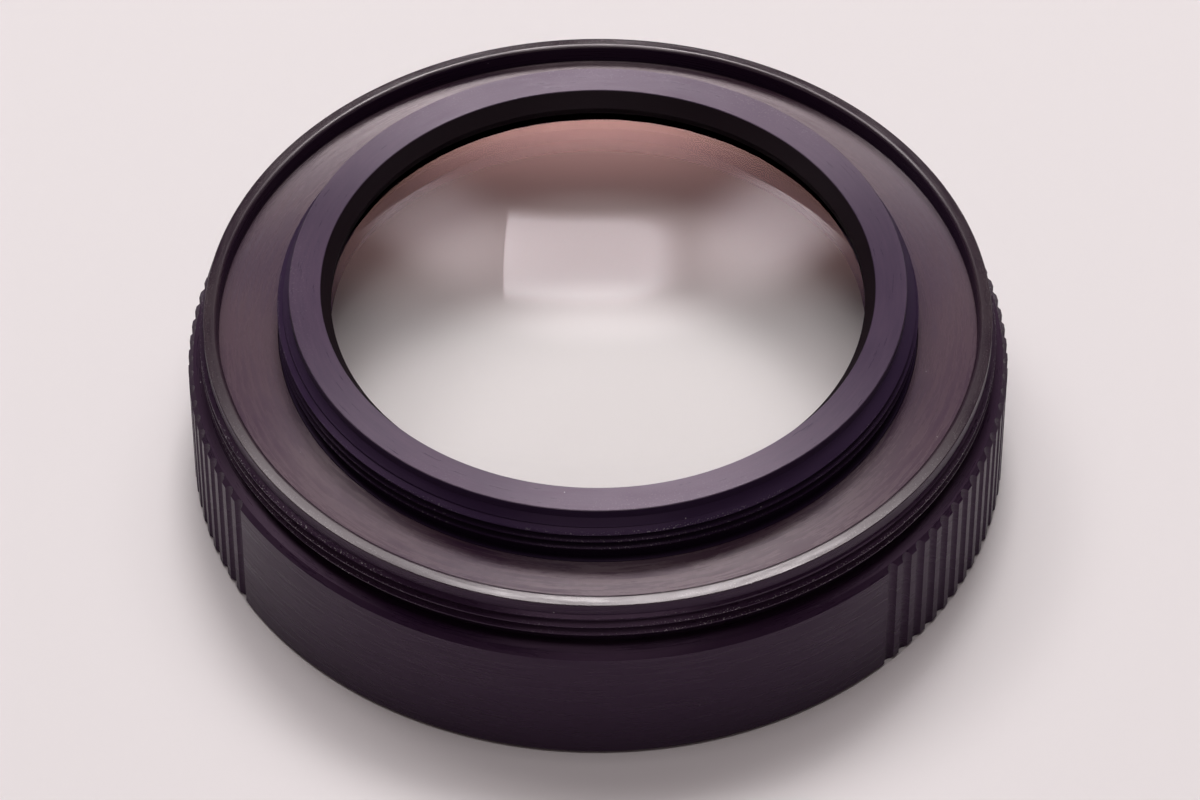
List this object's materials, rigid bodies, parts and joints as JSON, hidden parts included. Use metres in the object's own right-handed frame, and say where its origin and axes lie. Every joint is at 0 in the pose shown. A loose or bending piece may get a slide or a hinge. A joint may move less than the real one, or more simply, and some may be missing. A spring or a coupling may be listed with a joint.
{
  "type": "close-up filter",
  "caption": "Round close-up filter: a cemented lens in a black turned mount, with a knurled barrel, a smooth field, a rear male thread, a raised collar and a front female thread.",
  "frame": {"origin": "centre of the front rim's face, on which the filter lies", "axes": "+Z along the optical axis towards the camera, -Y through the middle of the smooth field in the knurl"},
  "size_m": [0.0568, 0.0568, 0.0164],
  "materials": {
    "black_anodised": "satin black anodising, faded to a purple brown",
    "coated_glass": "polished, with a salmon coloured coating"
  },
  "bodies": {
    "root": {"knurled_barrel": "black_anodised", "lens_cell": "black_anodised", "retaining_ring": "black_anodised", "front_element": "coated_glass", "rear_element": "coated_glass"}
  },
  "joints": []
}
